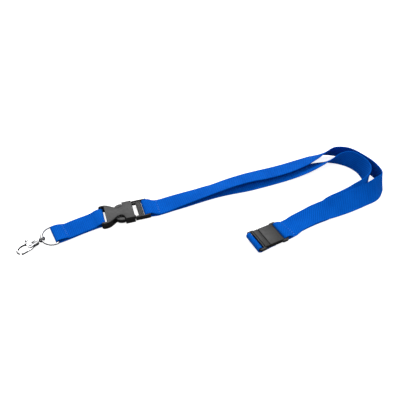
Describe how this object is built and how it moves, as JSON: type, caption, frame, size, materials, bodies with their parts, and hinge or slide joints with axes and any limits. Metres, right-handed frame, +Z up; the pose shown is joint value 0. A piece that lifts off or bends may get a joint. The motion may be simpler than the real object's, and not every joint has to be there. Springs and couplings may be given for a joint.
{
  "type": "lanyard",
  "caption": "Neck lanyard of flat woven webbing with a breakaway connector, a side-release buckle, a short strap, a D-ring and a swivelling trigger hook, lying flat.",
  "frame": {"origin": "middle of the object's footprint, on the surface it lies on", "axes": "+Z up out of the surface; +X along the object's length, from the trigger hook towards the bend of the neck strap"},
  "size_m": [0.3442, 0.144, 0.0205],
  "materials": {
    "webbing": "woven polyester webbing, matt",
    "thread": "sewing thread",
    "plastic": "moulded, fine satin",
    "metal": "bright nickel plate"
  },
  "bodies": {
    "neck": {"neck_strap": "webbing", "stitch_row_buckle": "thread", "stitch_row_socket": "thread", "breakaway_socket": "plastic"},
    "tongue": {"breakaway_tongue": "plastic", "neck_strap_tongue_end": "webbing"},
    "male": {"buckle_male_frame": "plastic"},
    "prong_far": {"buckle_prong_far": "plastic"},
    "prong_near": {"buckle_prong_near": "plastic"},
    "female": {"buckle_female_body": "plastic"},
    "short": {"short_strap": "webbing", "stitch_row_ring": "thread"},
    "ring": {"d_ring": "metal"},
    "eye": {"swivel_eye": "metal"},
    "hook": {"hook_body": "metal", "trigger_rivet": "metal"},
    "lever": {"trigger_lever": "metal"}
  },
  "joints": [
    {"name": "buckle_swing", "type": "hinge", "parent": "neck", "child": "male", "pos_m": [-0.06316, -0.0144, 0.0038], "axis": [-0.3007, 0.9537, 0], "range_deg": [-60, 60]},
    {"name": "prong_far_flex", "type": "hinge", "parent": "male", "child": "prong_far", "pos_m": [-0.07622, -0.00955, 0.0038], "axis": [0, 0, 1], "range_deg": [0, 8], "stiffness_Nm_per_rad": 0.05},
    {"name": "prong_near_flex", "type": "hinge", "parent": "male", "child": "prong_near", "pos_m": [-0.07108, -0.02586, 0.0038], "axis": [0, 0, -1], "range_deg": [0, 8], "stiffness_Nm_per_rad": 0.05},
    {"name": "buckle_release", "type": "slide", "parent": "male", "child": "female", "axis": [-0.9537, -0.3007, 0], "range_m": [0, 0.019], "deforming": ["buckle_prong_far", "buckle_prong_near"]},
    {"name": "short_strap_swing", "type": "hinge", "parent": "female", "child": "short", "pos_m": [-0.10331, -0.02706, 0.0038], "axis": [-0.3007, 0.9537, 0], "range_deg": [-60, 60]},
    {"name": "ring_swing", "type": "hinge", "parent": "short", "child": "ring", "pos_m": [-0.14191, -0.04798, 0.00322], "axis": [-0.4848, 0.8746, 0], "range_deg": [-80, 80]},
    {"name": "eye_swing", "type": "hinge", "parent": "ring", "child": "eye", "pos_m": [-0.15275, -0.05399, 0.00322], "axis": [0.682, -0.7314, 0], "range_deg": [-75, 75]},
    {"name": "hook_swivel", "type": "hinge", "parent": "eye", "child": "hook", "pos_m": [-0.15275, -0.05399, 0.00322], "axis": [-0.7314, -0.682, 0], "continuous": true},
    {"name": "trigger_pivot", "type": "hinge", "parent": "hook", "child": "lever", "pos_m": [-0.1608, -0.06149, 0.00322], "axis": [0, 0, 1], "range_deg": [-14, 0], "stiffness_Nm_per_rad": 0.01, "springref_deg": 11.46},
    {"name": "breakaway_release", "type": "slide", "parent": "neck", "child": "tongue", "axis": [-0.8829, -0.4695, 0], "range_m": [0, 0.011]}
  ]
}
